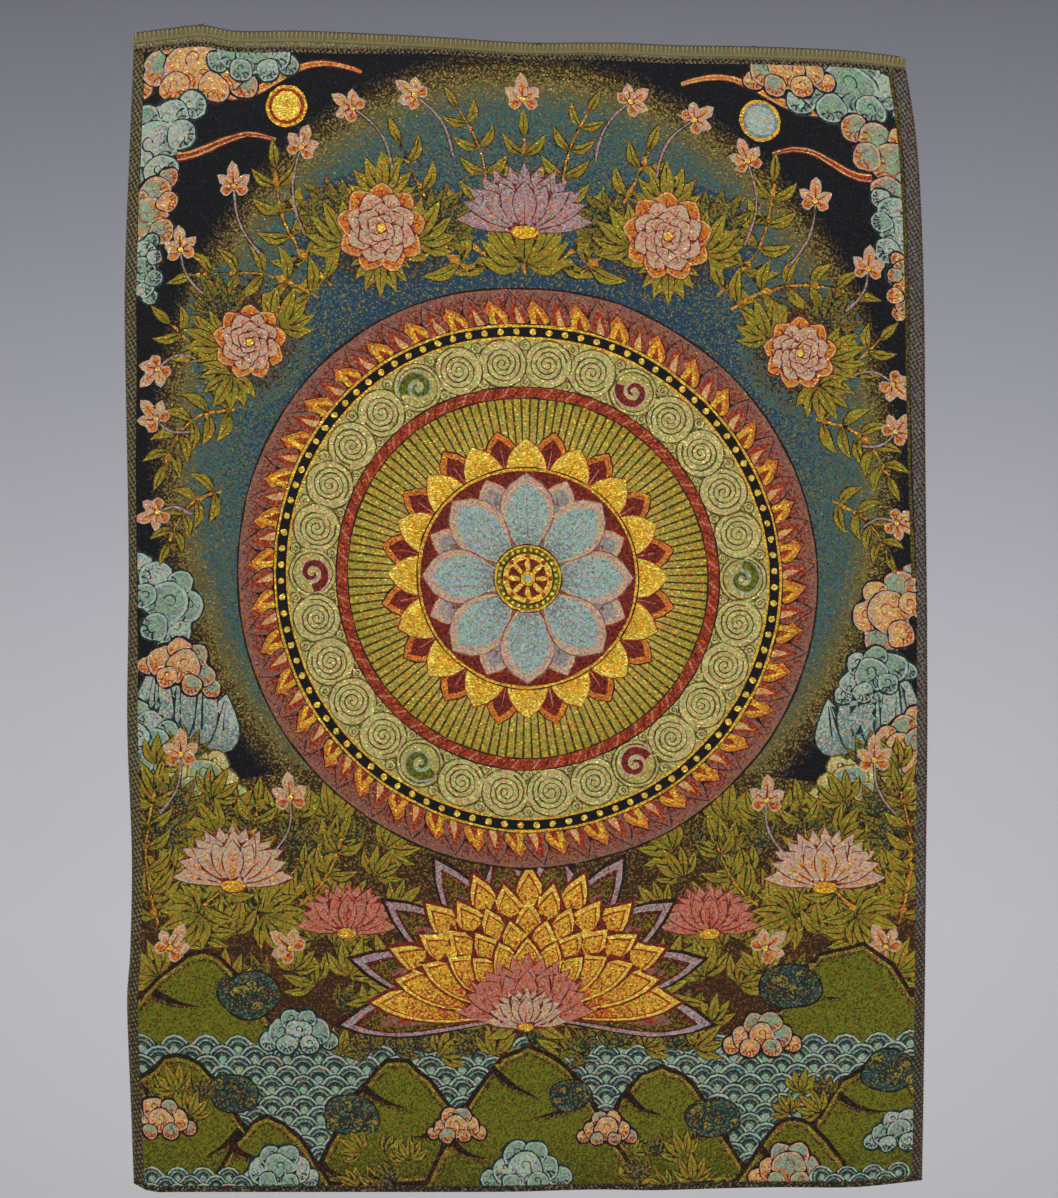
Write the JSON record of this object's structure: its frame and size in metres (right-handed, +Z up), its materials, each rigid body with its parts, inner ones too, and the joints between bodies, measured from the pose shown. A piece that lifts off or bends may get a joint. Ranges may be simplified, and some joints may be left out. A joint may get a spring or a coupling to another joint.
{
  "type": "woven brocade wall hanging",
  "caption": "Tall rectangular woven brocade hanging without rods: a picture panel with a turned hem and a narrow stitched heading band along its top edge.",
  "frame": {"origin": "middle of the heading band's top edge, from which the cloth hangs", "axes": "+Z up along the hanging's height, +X to the viewer's right, -Y out of the woven face towards the viewer"},
  "size_m": [0.6259, 0.0061, 0.9099],
  "materials": {
    "brocade": "jacquard weave of matt silk-like yarn with glittering metallic gold weft",
    "heading_tape": "plain-woven cotton tape in golden olive, overlocked in yellow thread"
  },
  "bodies": {
    "root": {"picture_panel": "brocade", "heading_band": "heading_tape"}
  },
  "joints": []
}
